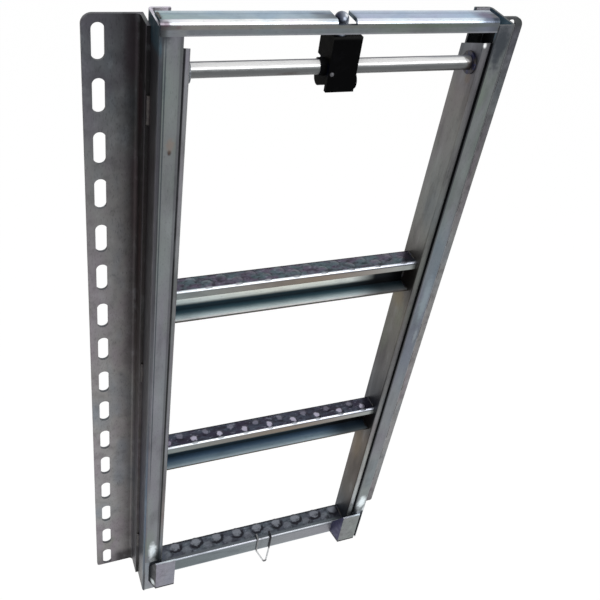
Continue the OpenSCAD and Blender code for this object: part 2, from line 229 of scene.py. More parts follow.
# Zinc plating: tones set by the way a face points, which paint light, shade and reflection, then bands and marks at
# their places, then blotches and grain
def zinc(name, look):
    s = Shade(name, look.get("side", 1))
    run = {"across": s.across, "depth": s.depth, "up": s.up}
    # facing masks: the tones given per facing are painted light, shade and reflection
    faces = {
        "back": s.rise(s.faceDepth, 0.35, 0.8),
        "inner": s.rise(0 - s.faceAcross, 0.35, 0.8),
        "outer": s.rise(s.faceAcross, 0.35, 0.8),
        "under": s.rise(0 - s.faceUp, 0.35, 0.8),
        "top": s.rise(s.faceUp, 0.35, 0.8),
        "front": s.rise(0 - s.faceDepth, 0.35, 0.8),
    }
    axis = look.get("axis", "up")
    base = s.along(run[axis], look["front"])
    for face, mask in faces.items():
        if face in look and face != "front":
            base = s.mix(mask, base, s.along(run[look.get(face + "Axis", axis)], look[face]))
    for band in look.get("bands", []):
        mask = s.band(run[band["axis"]], band["low"], band["high"], band.get("soft", 0.6)) * band.get("strength", 1.0)
        if "face" in band:
            mask = mask * faces[band["face"]]
        if "from" in band:
            mask = mask * s.band(run[band["within"]], band["from"], band["to"], band.get("fade", 10))
        base = s.mix(mask, base, s.along(run[band.get("toneAxis", axis)], band["tone"]), band.get("kind", "MIX"))
    blotch = s.noise(look.get("blotch", 22), look.get("stretch", (1, 1, 0.5)), 4.0, 1)
    tint = s.node("ValToRGB", {"stops": [(0.3, tone("e4eefa")), (0.45, tone("ffffff")), (0.6, tone("f6ecf6")), (0.72, tone("eef4e6"))]},
                  {0: s.noise(48, (1, 1, 0.4), 2.0, 5)})
    base = s.mix(look.get("tint", 0.7), base, tint, "MULTIPLY")
    base = s.mix(s.rise(blotch, 0.5, 0.68) * look.get("dark", 0.35), base, tone("a8a6a8"), "MULTIPLY")
    base = s.mix(s.rise(blotch, 0.46, 0.3) * look.get("light", 0.25), base, tone("606468"), "SCREEN")
    grain = s.noise(1.6, look.get("grainStretch", (1, 1, 0.3)), 3.0, 2)
    base = s.mix(s.rise(grain, 0.52, 0.75) * look.get("grain", 0.4), base, tone("b4b4b6"), "MULTIPLY")
    for mark in look.get("marks", []):
        mask = s.mark(mark["at"], mark["reach"]) * mark.get("strength", 1.0)
        base = s.mix(mask, base, tone(mark["tone"]), mark.get("kind", "MIX"))
    rough = look.get("rough", 0.42) + (blotch - 0.5) * 0.25
    return s.finish(base, look.get("metal", 0.75), rough, blotch * 0.6 + grain * 0.4, look.get("lift", 0.00012))


def dress(node, material):
    held = frame["nodes"][node].data.materials
    held.clear()
    held.append(material)


railSet = {
    "front": [(0, "7a7c7d"), (70, "6e757a"), (140, "78807f"), (280, "74777a"), (440, "72767a"), (600, "707377"), (740, "6c7371"),
              (860, "68706c"), (950, "69716e"), (985, "5c6063")],
    "outer": [(0, "2a2728"), (50, "343338"), (110, "3c3e48"), (280, "424450"), (440, "444348"), (600, "38383b"), (860, "2a2628"),
              (995, "1f2127")],
    # inner faces painted dark as shade, top faces painted pale as light
    "inner": "14171a",
    "top": "d6d5de",
    "under": "505256",
    "back": "55585b",
    "bands": [
        {"axis": "depth", "low": -60, "high": 5, "tone": "1a1c1f", "face": "front", "soft": 1},  # back wall, seen inside the channel, painted dark as shade
        {"axis": "depth", "low": -76, "high": -66, "tone": [(0, "3c444c"), (140, "42566a"), (300, "465868"), (440, "505458"), (700, "454449"),
                                                           (995, "393c42")], "face": "outer", "soft": 2},
        {"axis": "across", "low": 200, "high": 201.8, "tone": [(0, "6e7072"), (400, "66686c"), (700, "38393d"), (995, "33373b")],
         "face": "front", "soft": 0.5},
        {"axis": "across", "low": 184, "high": 198, "tone": "909498", "face": "front", "soft": 5, "strength": 0.22},
        # painted highlight on the top of the back wall, seen behind the bar
        {"axis": "up", "low": 984, "high": 1000, "tone": "d9d6de", "face": "front", "soft": 1.5, "within": "depth", "from": -60, "to": 5,
         "fade": 1},
        {"axis": "up", "low": 978, "high": 1000, "tone": "2c4350", "face": "inner", "soft": 4},
    ],
    "blotch": 26, "stretch": (1, 1, 0.35), "rough": 0.4,
}
leftRailSet = dict(railSet, side=-1, bands=railSet["bands"] + [
    {"axis": "up", "low": 967, "high": 1000, "tone": "24404c", "face": "outer", "soft": 5, "strength": 0.85},
    # painted shade along the lip's inner edge
    {"axis": "across", "low": 179, "high": 183.6, "tone": "56585b", "face": "front", "soft": 0.6, "strength": 0.75},
    {"axis": "across", "low": 197.4, "high": 198.8, "tone": "363c42", "face": "front", "soft": 0.4, "strength": 0.8,
     "within": "up", "from": 300, "to": 1010, "fade": 60},
], marks=[
    {"at": (-190.6, -74, 859), "reach": (3.4, 3, 5), "tone": "3a2f2a"},
    {"at": (-190, -74, 868), "reach": (7, 4, 12), "tone": "7c6f66", "strength": 0.6},
    # next four: painted highlights at the lip's lower end and near its foot, with a painted shadow beside the bracket
    # between them
    {"at": (-190, -74, 114), "reach": (9, 5, 32), "tone": "f2fbff", "strength": 0.9},
    {"at": (-187, -74, 80), "reach": (8, 5, 18), "tone": "f6fdff", "strength": 0.95},
    {"at": (-194, -74, 44), "reach": (9, 5, 40), "tone": "3c434b", "strength": 0.75},
    {"at": (-189, -74, 20), "reach": (5, 4, 10), "tone": "eef6f8", "strength": 0.9},
    {"at": (-204, -60, 120), "reach": (4, 16, 90), "tone": "26303c", "strength": 0.7},
    {"at": (-204, -50, 28), "reach": (4, 30, 40), "tone": "1c1b1e", "strength": 0.8},
    {"at": (-202, -74, 34), "reach": (5, 6, 40), "tone": "2c2c30", "strength": 0.7},
    {"at": (-200, -72, 990), "reach": (12, 8, 18), "tone": "33363b", "strength": 0.9},
    {"at": (-192, -74, 992), "reach": (8, 4, 7), "tone": "6a4a62", "strength": 0.8},
])
# the right rail's top faces are painted dark as shade
rightRailSet = dict(railSet, side=1, top="3a4044", bands=railSet["bands"] + [
    {"axis": "across", "low": 183, "high": 203, "tone": "5c6c7a", "face": "front", "soft": 2, "strength": 0.45, "within": "up",
     "from": 430, "to": 720, "fade": 50},
    # painted shade along the lip's inner edge, darkest at the top
    {"axis": "across", "low": 179, "high": 182.4, "face": "front", "soft": 0.5, "strength": 0.9,
     "tone": [(0, "4c5054"), (700, "42454a"), (900, "26282c"), (995, "1a1c20")]},
], marks=[
    # next two: painted highlights at the lip's lower end
    {"at": (192, -74, 112), "reach": (11, 5, 24), "tone": "eef8fc", "strength": 0.98},
    {"at": (200, -74, 80), "reach": (4, 5, 30), "tone": "dfe6ea", "strength": 0.8},
    {"at": (194, -74, 589), "reach": (9, 5, 60), "tone": "8a979f", "strength": 0.6},
    {"at": (190, -74, 972), "reach": (16, 6, 44), "tone": "34393f", "strength": 0.95},
    {"at": (196, -74, 520), "reach": (4, 5, 22), "tone": "949ca2", "strength": 0.5},
])

angleSet = {
    # face tones darker toward the top: a painted reflection
    "front": [(0, "686868"), (40, "828282"), (110, "8a8a8a"), (230, "8b8b8b"), (415, "858483"), (604, "7e7e7e"), (758, "6e6e6e"),
              (863, "5f6264"), (932, "515458"), (985, "47494d")],
    "outer": [(0, "343437"), (50, "5c5c5f"), (160, "646465"), (300, "605e62"), (450, "565250"), (600, "342e2d"), (780, "242020"),
              (995, "1c1b1c")],
    "inner": [(0, "3a3a3d"), (500, "45454a"), (995, "2c2d30")],
    "top": "5a5d60",
    "under": "4c4d50",
    "back": "66686b",
    "bands": [
        # next two: painted shade and reflection, darkening the face toward its root at the rail
        {"axis": "across", "low": 195, "high": 270, "soft": 3, "face": "front", "kind": "MULTIPLY", "toneAxis": "across",
         "tone": [(204, "6a6664"), (211, "84807f"), (217, "a6a2a2"), (226, "dad6d6"), (240, "f4f3f3"), (264, "ffffff")],
         "within": "up", "from": 450, "to": 1100, "fade": 90},
        {"axis": "across", "low": 195, "high": 270, "soft": 3, "face": "front", "kind": "MULTIPLY", "toneAxis": "across",
         "tone": [(204, "908c8a"), (211, "b0acab"), (217, "c6c2c2"), (226, "e4e0e0"), (240, "f8f7f7"), (264, "ffffff")],
         "within": "up", "from": -100, "to": 450, "fade": 90},
        {"axis": "depth", "low": -36, "high": -30, "soft": 1, "face": "outer", "tone": "6a686c", "strength": 0.35},
        {"axis": "up", "low": -5, "high": 28, "soft": 9, "face": "front", "kind": "MULTIPLY", "tone": "7c7a7c", "toneAxis": "up",
         "within": "across", "from": 200, "to": 236, "fade": 8},
    ],
    "blotch": 15, "stretch": (1, 1, 0.8), "dark": 0.4, "light": 0.3, "rough": 0.5, "tint": 0.9, "grain": 0.55,
}
# left angle: lighter face tones, still darker toward the top as a painted reflection
leftAngleSet = dict(angleSet, side=-1, dark=0.26, light=0.2, front=[
    (0, "707070"), (40, "8c8c8c"), (110, "949494"), (230, "969696"), (415, "908f8e"), (604, "888888"), (758, "777777"),
    (863, "676a6c"), (932, "585b5f"), (985, "4d4f53"),
], marks=[
    {"at": (-216, -4, 940), "reach": (12, 8, 60), "tone": "2b2228", "strength": 0.6},
    {"at": (-208, -14, 880), "reach": (4, 14, 60), "tone": "33191f", "strength": 0.5},
    {"at": (-208, -20, 700), "reach": (4, 12, 90), "tone": "3a2222", "strength": 0.45},
    {"at": (-212, -4, 760), "reach": (7, 8, 110), "tone": "33262a", "strength": 0.5},
    {"at": (-250, -4, 905), "reach": (24, 6, 26), "tone": "3d3640", "strength": 0.45},
    # painted shade of a small hole above the top stitch weld
    {"at": (-208, -31, 915), "reach": (4, 5, 7), "tone": "0c0a0c", "strength": 0.95},
])
rightAngleSet = dict(angleSet, side=1)

barSet = {
    "axis": "across",
    # top tones darker over the latch notch: painted shade inside it
    "top": [(-204, "86a09f"), (-175, "93a9b0"), (-120, "9db1bd"), (-48, "9db1c0"), (-36, "7a8894"), (-22, "4e5a66"), (-8, "2c343e"),
            (4, "2c343e"), (6, "90a0b4"), (12, "a6b5cc"), (100, "a3b4cd"), (148, "9cb8d0"), (160, "6a7490"), (168, "4a4a68"), (176, "23283a"),
            (181, "2a3440")],
    "front": [(-204, "2d3034"), (-199, "4c5052"), (-196, "70767a"), (-181, "777d7c"), (-175, "6a7173"), (-80, "70767a"),
              (-25, "6a7375"), (60, "69706d"), (130, "68706f"),
              (165, "666c78"), (181, "50575b")],
    # end faces painted dark as shade
    "outer": "2a3d48",
    "inner": "2c4350",
    "under": "4a4e52",
    "back": "2c3338",
    "bands": [
        {"axis": "depth", "low": -53.5, "high": -47, "soft": 1, "face": "top", "tone": "bccad4", "strength": 0.6},
        {"axis": "depth", "low": -58, "high": -54.5, "soft": 1, "face": "top", "tone": "7d93a6", "strength": 0.55},
        # painted highlight along the rounded front edge
        {"axis": "depth", "low": -76, "high": -69.6, "soft": 0.9, "tone": [(-204, "8e8790"), (-192, "e4eaee"), (-175, "f6faf8"),
         (-50, "f4f8fa"), (-25, "c8d6de"), (12, "e8f2fa"), (150, "e0f0fa"), (163, "7c8698"), (181, "46525a")],
         "within": "up", "from": 998.2, "to": 1006, "fade": 0.7},
        {"axis": "up", "low": 993.5, "high": 998, "soft": 1, "face": "front", "tone": [(-204, "3a3438"), (-175, "7c7c74"),
         (-60, "6f6e6a"), (100, "5c6a5e"), (181, "5a6062")], "strength": 0.75},
        {"axis": "up", "low": 980, "high": 988.4, "soft": 0.6, "face": "front", "tone": "9a9ca0", "strength": 0.45, "within": "across",
         "from": -178, "to": 220, "fade": 1.5},
    ],
    "marks": [
        {"at": (-198, -73, 999), "reach": (7, 5, 4), "tone": "4a3040", "strength": 0.7},
        {"at": (-186, -74, 996), "reach": (4, 4, 3), "tone": "5a3c4a", "strength": 0.45},
        {"at": (-203, -62, 1002), "reach": (5, 16, 4), "tone": "2c4450", "strength": 0.7},
        {"at": (168, -62, 1002), "reach": (11, 12, 4), "tone": "4c4668", "strength": 0.8},
        {"at": (176, -70, 1001), "reach": (7, 8, 6), "tone": "2a3240", "strength": 0.7},
        {"at": (-34, -56, 1002), "reach": (14, 4, 3), "tone": "3c4e66", "strength": 0.8},
    ],
    "stretch": (0.35, 1, 1), "grainStretch": (0.3, 1, 1), "rough": 0.3, "dark": 0.25, "light": 0.2,
}

stileSet = {
    "front": [(0, "868b8f"), (70, "8d959d"), (120, "7a8288"), (200, "7c7672"), (280, "636464"), (360, "7c8084"), (520, "76777a"),
              (600, "6c7270"), (740, "787a7c"), (860, "7c7d7f"), (973, "7e8086")],
    # inner tones dip dark just under the treads, near 300 and 605: painted shadow
    "inner": [(0, "2c3850"), (50, "2b333c"), (85, "262a2e"), (120, "3a352f"), (200, "453b31"), (270, "50463b"), (300, "2e2b28"),
              (360, "2c2e34"), (400, "403f40"), (440, "4c4b4b"), (530, "5f5f56"), (570, "625f57"), (605, "2a2826"), (650, "403e3a"),
              (690, "6a6a66"), (800, "6e706e"), (900, "6c6a67"), (950, "5c5e62"), (973, "63676b")],
    "outer": "3a3c40",
    "top": "8c9094",
    "under": "4c5056",
    "back": "56585a",
    "bands": [
        # painted highlight along the inner face's front edge
        {"axis": "depth", "low": -72, "high": -68.6, "soft": 0.6, "face": "inner", "strength": 0.4, "tone": "8e9092"},
    ],
    "marks": [
        # next two: painted shade around the upper and middle treads' right ends
        {"at": (171, -45, 626), "reach": (4, 24, 30), "tone": "2a2522", "strength": 0.85},
        {"at": (171, -45, 330), "reach": (4, 22, 24), "tone": "332a26", "strength": 0.7},
        {"at": (171, -40, 575), "reach": (4, 22, 30), "tone": "6f6340", "strength": 0.4},
        {"at": (171, -40, 240), "reach": (4, 22, 50), "tone": "6d5c42", "strength": 0.4},
        {"at": (171, -56, 925), "reach": (4, 9, 12), "tone": "5c4a3e", "strength": 0.45},
        {"at": (171, -52, 946), "reach": (4, 14, 14), "tone": "2a2c3a", "strength": 0.75},
        # next two: the same painted shade at the treads' left ends
        {"at": (-171, -45, 628), "reach": (4, 22, 26), "tone": "3a2f24", "strength": 0.7},
        {"at": (-171, -45, 330), "reach": (4, 22, 24), "tone": "332a26", "strength": 0.7},
    ],
    "blotch": 18, "stretch": (1, 1, 0.25), "rough": 0.42, "dark": 0.4, "light": 0.25,
}

leftStileSet = dict(stileSet, side=-1, bands=stileSet["bands"] + [
    # painted shade beside the lip's inner edge
    {"axis": "across", "low": 177, "high": 181.5, "soft": 0.7, "face": "front",
     "tone": [(0, "70787f"), (80, "70787f"), (130, "24282a"), (300, "1c1e1e"), (973, "18181c")]},
    # painted highlight along the inner front corner
    {"axis": "across", "low": 170, "high": 173, "soft": 0.8, "face": "front", "strength": 0.6, "tone": "98999c"},
# the added mark is a painted highlight low on the front
], marks=stileSet["marks"] + [{"at": (-171, -70.4, 80), "reach": (5, 4, 15), "tone": "eaf4f8", "strength": 0.9}])
rightStileSet = dict(stileSet, side=1, bands=stileSet["bands"] + [
    # painted highlight along the front strip, brightest low down
    {"axis": "across", "low": 170, "high": 178.4, "soft": 0.5, "face": "front", "strength": 0.8,
     "tone": [(0, "c8d0d4"), (110, "bcc2c2"), (250, "a8aaa6"), (320, "7c7c7a"), (440, "646464"), (600, "60625e"), (973, "5c5e5e")]},
    # painted shade beside the lip's inner edge
    {"axis": "across", "low": 178.8, "high": 181.5, "soft": 0.5, "face": "front",
     "tone": [(0, "5c6268"), (130, "303436"), (300, "242626"), (973, "1a1a1e")]},
# the added marks are painted highlights: at the top front corner and low on the front
], marks=stileSet["marks"] + [{"at": (172, -70, 970), "reach": (3.4, 4, 6), "tone": "fafcfd"},
                               {"at": (176, -70.4, 92), "reach": (5, 4, 14), "tone": "e4edf0", "strength": 0.85}])


def treadShade(name, look):
    s = Shade(name)
    top = s.rise(s.faceUp, 0.4, 0.9)
    front = s.rise(0 - s.faceDepth, 0.5, 0.95)
    below = look["top"] - s.up  # how far under the tread's top
    behind = s.depth - look["edge"]  # how far behind its front edge
    apron = front * s.rise(behind, 5, 3)
    # the web behind the lip, its tones painted dark as the shade of the recess
    web = s.rise(behind, 4, 8) * front
    base = s.mix(web, s.along(s.across, look["face"]), s.along(s.across, look["web"]))
    if "glint" in look:
        glint = look["glint"]  # light thrown up on the web, just under the lip
        base = s.mix(web * s.band(below, glint["low"], glint["high"], 3.0), base, s.along(s.across, glint["tone"]))
    # band along the lip's lower edge: a pale painted highlight on the bottom tread, a brown tone on the others
    lowerBand = s.rise(below, look["lip"] - look["bandHeight"], look["lip"] - look["bandHeight"] + 1.6)
    base = s.mix(apron * lowerBand, base, s.along(s.across, look["lipLine"]))
    underNose = s.band(below, 2.6, 4.4, 0.7) * (0.25 + s.rise(s.across, -40, 110) * 0.6)
    base = s.mix(apron * underNose, base, tone(look["noseShadow"]))
    ledge = top * s.rise(below, 6, 9)  # top of the lower flange, seen below the lip; its tones paint light at the front edge and shade further back
    base = s.mix(ledge, base, s.along(behind, look["flange"]))
    # painted shade over the flange toward the right stile
    base = s.mix(ledge * s.rise(s.across, 90, 135) * 0.75, base, tone("14181c"))

    # top face: mottled, with a painted highlight crown on each dimple and a painted shade crescent at its front right
    patch = s.noise(look["patchSize"], (0.6, 1, 1), 3.0, 3)
    topTone = s.mix(s.rise(patch, 0.42, 0.6), tone(look["patches"][0]), tone(look["patches"][1]))
    topTone = s.mix(s.rise(s.noise(look["patchSize"] * 0.6, (0.5, 1, 1), 3.0, 8), 0.5, 0.66) * 0.7, topTone, tone(look["patches"][2]))
    fleck = s.noise(look["fleckSize"], (0.6, 1, 1), 3.0, 12)
    topTone = s.mix(s.rise(fleck, 0.54, 0.66) * 0.7, topTone, tone("1f1e28"))
    topTone = s.mix(s.rise(fleck, 0.42, 0.3) * 0.4, topTone, tone("8c90a0"))
    wobble = (s.noise(6, (1, 1, 1), 2.0, 9) - 0.5) * look["wobble"]
    for row, start in enumerate(look["rows"]):
        turn = s.node("Math", {"operation": "FLOORED_MODULO"}, {0: s.across - (start - look["pitch"] / 2), 1: look["pitch"]})
        beside = turn - look["pitch"] / 2
        back = behind - look["in"] - row * look["gap"]
        far = (beside * beside + back * back) ** 0.5 + wobble
        ahead = beside * look["lean"] - back * 0.65
        size, part = look["crownSize"], look["rowStrength"][row]
        crescentShade = s.band(far, size * 0.95, size * look["stroke"], 1.2) * s.rise(ahead + wobble, -1.5, 4)
        topTone = s.mix(crescentShade * (look["crescentShade"][1] * part), topTone, tone(look["crescentShade"][0]))
        topTone = s.mix(s.rise(far, size * 1.15, size * 0.7) * (look["crownHighlight"][1] * part), topTone, tone(look["crownHighlight"][0]))
    margin = s.rise(behind, look["margin"] + 1.5, look["margin"] - 1.5)
    topTone = s.mix(margin, topTone, s.along(s.across, look["marginTone"]))
    topTone = s.mix(s.rise(behind, look["deep"] - 1.5, look["deep"]) * 0.7, topTone, tone("15171c"))
    base = s.mix(top * s.rise(below, 3, 0.6), base, topTone)

    # nosing: a painted highlight along the line where the top turns down
    nose = s.rise(0 - s.faceDepth, 0.25, 0.5) * s.rise(s.faceUp, 0.2, 0.45) * s.rise(behind, 5, 3)
    base = s.mix(nose, base, s.along(s.across, look["noseHighlight"]))
    base = s.mix(s.rise(s.faceDepth, 0.4, 0.8), base, tone("5f6368"))
    base = s.mix(s.rise(0 - s.faceUp, 0.4, 0.8), base, tone("4a4e53"))
    blotch = s.noise(16, (0.3, 1, 1), 4.0, 1)
    grain = s.noise(1.5, (0.3, 1, 1), 3.0, 2)
    base = s.mix(s.rise(blotch, 0.52, 0.7) * 0.3, base, tone("a4a6ac"), "MULTIPLY")
    base = s.mix(s.rise(grain, 0.52, 0.75) * 0.35, base, tone("b0b0b4"), "MULTIPLY")
    for at, reach, code, strength in look["marks"]:
        base = s.mix(s.mark(at, reach) * strength, base, tone(code))
    return s.finish(base, 0.75 - ledge * 0.6, 0.34 + (blotch - 0.5) * 0.2, blotch * 0.6 + grain * 0.4, 0.0001)


def upperLook(topHeight):
    return {
        "top": topHeight, "edge": -60.4, "lip": 12.5, "margin": 0.6, "deep": 25.5,
        "pitch": 40.0, "in": 9.0, "gap": 8.5, "rows": [-7.5, 12.5],
        "patches": ("544c5e", "4c5d64", "2a2934"), "patchSize": 13, "crownHighlight": ("7a7c88", 0.12), "crescentShade": ("16161e", 0.4),
        "crownSize": 6.6, "rowStrength": (1.0, 0.9), "lean": 0.75, "stroke": 1.4, "wobble": 7.0, "fleckSize": 4.5,
        "marginTone": "666a74", "noseHighlight": [(-171, "cfd6dc"), (-60, "e6eaf0"), (100, "dfe4ee"), (171, "b4b8c4")],
        "bandHeight": 1.0, "noseShadow": "3c3e48", "lipLine": "4a4642",
        "glint": {"low": 26.0, "high": 42.5, "tone": [(-171, "dfe6e4"), (-20, "f0efe4"), (90, "eef0ea"), (114, "9a9e9c"),
                                                     (126, "1c2024"), (171, "101215")]},
        "face": [(-171, "7c8585"), (-80, "7c7a76"), (20, "7e7266"), (100, "8a8580"), (171, "9ca2a0")],
        "web": [(-171, "2c424e"), (-120, "30424c"), (60, "2c3a40"), (112, "1a1f24"), (130, "0c0e11"), (171, "101316")],
        "flange": [(2.5, "5c6a70"), (3.4, "ffffff"), (8, "ccdce2"), (13, "8499a2"), (18, "42606c"), (24, "263c48")],
        "marks": [
            ((-168, -50, topHeight), (9, 16, 7), "55485e", 0.6),
            ((166, -46, topHeight), (12, 14, 7), "2c2836", 0.7),
            # painted shade under the tread's right end
            ((160, -40, topHeight - 34), (20, 16, 14), "0b0c0f", 0.8),
        ],
    }


def middleLook(topHeight):
    # darker and more purple, with painted highlight spots on the front row of dimples
    return dict(
        upperLook(topHeight), flange=[(2.5, "5c6a70"), (3.4, "c8d8e2"), (9, "7c94a6"), (16, "44607c"), (24, "2e4256")],
        patches=("2e2a3c", "3c4250", "22202b"), crownHighlight=("c0bcd0", 0.75), crescentShade=("14141c", 0.5), crownSize=4.8,
        rowStrength=(1.0, 0.3),
    )


def lowerLook(topHeight):
    return {
        "top": topHeight, "edge": -62.4, "lip": 30.5, "margin": 7.0, "deep": 31.5,
        "pitch": 37.5, "in": 14.0, "gap": 12.0, "rows": [-9.4, 9.4],
        "patches": ("464a54", "525a62", "30333e"), "patchSize": 12, "crownHighlight": ("82868f", 0.75), "crescentShade": ("14141d", 0.95),
        "crownSize": 8.4, "rowStrength": (0.4, 1.0), "lean": 0.25, "stroke": 1.6, "wobble": 8.0, "fleckSize": 6.0,
        "marginTone": [(-171, "54585e"), (0, "5c6268"), (171, "646c72")],
        "noseHighlight": [(-171, "9aa2aa"), (0, "b0b2ba"), (60, "a6aab0"), (171, "a3a8ae")],
        "bandHeight": 2.4, "noseShadow": "5a6066", "lipLine": "9ca4aa",
        "face": [(-171, "5d676a"), (-60, "6c757a"), (20, "7c8286"), (60, "84878c"), (171, "86868e")],
        "web": "4c565c",
        "flange": "6c757a",
        "marks": [
            ((-166, -48, topHeight), (10, 18, 6), "3a4250", 0.6),
            ((166, -48, topHeight), (12, 18, 6), "30303c", 0.6),
            ((12, -60, topHeight - 12), (7, 4, 22), "5a5e60", 0.6),
        ],
    }


rodSet = {"sheen": "ffffff", "under": "68696a", "lower": "5e6061", "edge": "3c3c4c", "burnt": "37302e"}


def rodShade(name, values):
    # drawn tube: a broad painted highlight over its upper front, grey underneath, and painted shade along its top and
    # back
    s = Shade(name)
    wave = (s.noise(60, (0.6, 0, 0), 2.0, 4) - 0.5) * 0.16
    height = s.faceUp + wave
    # painted highlight on the upper front faces
    bright = s.rise(height, 0.36, 0.6)
    base = s.mix(bright, tone(values["lower"]), tone(values["sheen"]))
    base = s.mix(s.rise(height, -0.1, -0.5), base, tone(values["under"]))
    # painted shade along its top and back, the dark limb
    base = s.mix(s.rise(s.faceDepth, -0.2, -0.06), base, tone(values["edge"]))
    burnt = s.rise(s.across + (s.noise(7, (1, 1, 1), 2.0, 14) - 0.5) * 14, 160, 164)  # scale beside the right weld
    base = s.mix(burnt * 0.85, base, tone(values["burnt"]))
    base = s.mix(s.rise(s.across, 95, 125) * s.rise(s.faceDepth, -0.5, -0.1) * 0.7, base, tone("767a84"))
    scratch = s.noise(5, (0.25, 1, 1), 4.0, 1)
    base = s.mix(s.rise(scratch, 0.55, 0.7) * 0.25, base, tone("9a9c9e"), "MULTIPLY")
    for at, reach in (((-60, -60, 938), (20, 4, 4)), ((110, -60, 936), (24, 4, 3))):
        base = s.mix(s.mark(at, reach) * 0.6, base, tone("4a4340"))
    return s.finish(base, 0.75 - s.rise(height, 0.5, 0.8) * 0.75, 0.25 + scratch * 0.15, scratch, 0.00004)


def weldShade(name, tones):
    s = Shade(name)
    blotch = s.noise(6, (1, 1, 1), 4.0, 1)
    ripple = s.noise(2.2, (1, 1, 2), 2.0, 6)
    base = s.mix(s.rise(blotch, 0.4, 0.6), tone(tones[0]), tone(tones[1]))
    base = s.mix(s.rise(ripple, 0.55, 0.7) * 0.6, base, tone(tones[2]))
    return s.finish(base, 0.6, 0.45 + (blotch - 0.5) * 0.3, ripple + blotch * 0.5, 0.0004)


blackSet = {"body": "060607", "left": "070605", "edge": "141416", "gloss": 0.3, "ior": 1.08}


def blackShade(name, values):
    # moulded plastic with a fine spark texture, painted lighter on its top faces and along the top of its front as
    # painted highlight
    s = Shade(name)
    grain = s.noise(0.9, (1, 1, 1), 2.0, 2)
    blotch = s.noise(9, (1, 1, 1), 3.0, 1)
    base = s.mix(s.rise(0 - s.faceAcross, 0.4, 0.8), tone(values["body"]), tone(values["left"]))
    # painted light: top faces greyer
    base = s.mix(s.rise(s.faceUp, 0.4, 0.8), base, tone(values["edge"]))
    base = s.mix(s.rise(blotch, 0.5, 0.7) * 0.4, base, tone("0d0d0f"))
    base = s.mix(s.rise(0 - s.faceAcross, 0.4, 0.8) * s.band(s.up, 936, 950, 3), base, tone("04050f"))
    # painted highlight along the top of the front
    base = s.mix(s.rise(0 - s.faceDepth, 0.5, 0.9) * s.rise(s.up, 977, 981) * 0.7, base, tone("2a2a2a"))
    return s.finish(base, 0.0, 0.5 + (blotch - 0.5) * 0.3, grain, 0.00006, values["gloss"], values["ior"])


def rubberShade(name, code):
    s = Shade(name)
    blotch = s.noise(6, (1, 1, 1), 3.0, 1)
    base = s.mix(s.rise(blotch, 0.45, 0.65) * 0.6, tone(code), tone("2c2a30"))
    return s.finish(base, 0.0, 0.7 + (blotch - 0.5) * 0.3, s.noise(0.8, (1, 1, 1), 2.0, 2), 0.00008)


def boltShade(name):
    s = Shade(name)
    swirl = s.noise(5, (1, 1, 1), 3.0, 3)
    # painted light and shade across the domed tongue, dark left and bright right, then a painted glint near its top
    base = s.mix(s.rise(s.across, -13, -4), tone("2c3040"), tone("9aa2b0"))
    base = s.mix(s.rise(swirl, 0.5, 0.62) * 0.6, base, tone("3c4454"))
    base = s.mix(s.mark((-4, -62, 1003), (3.4, 3, 4)), base, tone("eef2f8"))
    return s.finish(base, 0.8, 0.25 + swirl * 0.15, swirl, 0.0001)


def wireShade(name):
    # bright below the tread, darker above where it runs up over the nose, most on the right strand, and darker at its
    # tip as painted shade
    s = Shade(name)
    blotch = s.noise(5, (1, 1, 0.5), 3.0, 1)
    upperDarkening = s.rise(s.across, 12, 20) * 0.4 + 0.6
    base = s.mix(s.rise(blotch, 0.4, 0.6), tone("d4d6d8"), tone("b8babc"))
    base = s.mix(s.rise(s.up, 17, 25) * upperDarkening, base, tone("1c1a20"))
    # painted shade at the tip of the loop
    base = s.mix(s.rise(s.up, -12, -17), base, tone("6c6c6e"))
    return s.finish(base, 0.7, 0.4 + (blotch - 0.5) * 0.3, blotch, 0.0001)


bracketSet = {
    "front": "84848e",
    # inner and outer side plates painted dark as shade; the top painted bright as light
    "inner": "2a2a50",
    "outer": "10141c",
    "top": "dfe8ee",
    "under": "7c8690",
    "back": "3c4048",
    "blotch": 9, "stretch": (1, 1, 1), "rough": 0.38, "tint": 0.8,
}


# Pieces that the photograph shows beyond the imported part
def meshPiece(name, build, body, material):
    mesh = bpy.data.meshes.new(name)
    form = bmesh.new()
    build(form)
    bmesh.ops.recalc_face_normals(form, faces=form.faces)
    form.to_mesh(mesh)
    form.free()
    for face in mesh.polygons:
        face.use_smooth = True
    piece = bpy.data.objects.new(name, mesh)
    scene.collection.objects.link(piece)
    mesh.materials.append(material)
    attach(piece, body)
    return piece


def turned(form, centre, outline, toward, steps=24):
    # a turned shape: outline holds (radius, height) pairs along the direction it stands in
    ahead = Vector(toward).normalized()
    beside = ahead.orthogonal().normalized()
    third = ahead.cross(beside)
    rings = []
    for radius, height in outline:
        if radius == 0:
            rings.append([form.verts.new(centre + ahead * height / 1000)])
        else:
            rings.append([form.verts.new(centre + (ahead * height + (beside * math.cos(a) + third * math.sin(a)) * radius) / 1000)
                          for a in (2 * math.pi * k / steps for k in range(steps))])
    for low, high in zip(rings, rings[1:]):
        for k in range(steps):
            j = (k + 1) % steps
            ring = [low[k % len(low)], low[j % len(low)], high[j % len(high)], high[k % len(high)]]
            unique = [v for i, v in enumerate(ring) if v not in ring[:i]]
            if len(unique) > 2:
                form.faces.new(unique)


rivetSet = {"at": (-12.2, -67, 939.2), "width": 5.2, "height": 1.6}


def rivetForm(form):
    r, h = rivetSet["width"] / 2, rivetSet["height"]
    dome = [(r, -0.6), (r, 0.2)] + [(r * math.cos(a), 0.2 + (h - 0.2) * math.sin(a)) for a in (0.3, 0.6, 0.9, 1.2)] + [(0, h)]
    turned(form, spot(*rivetSet["at"]), [(0, -0.6)] + dome, (0, -1, 0))


# Fillet beads where the treads meet the stiles
beadSet = {"thick": 3.0, "ripple": 2.4, "wobble": 0.35}


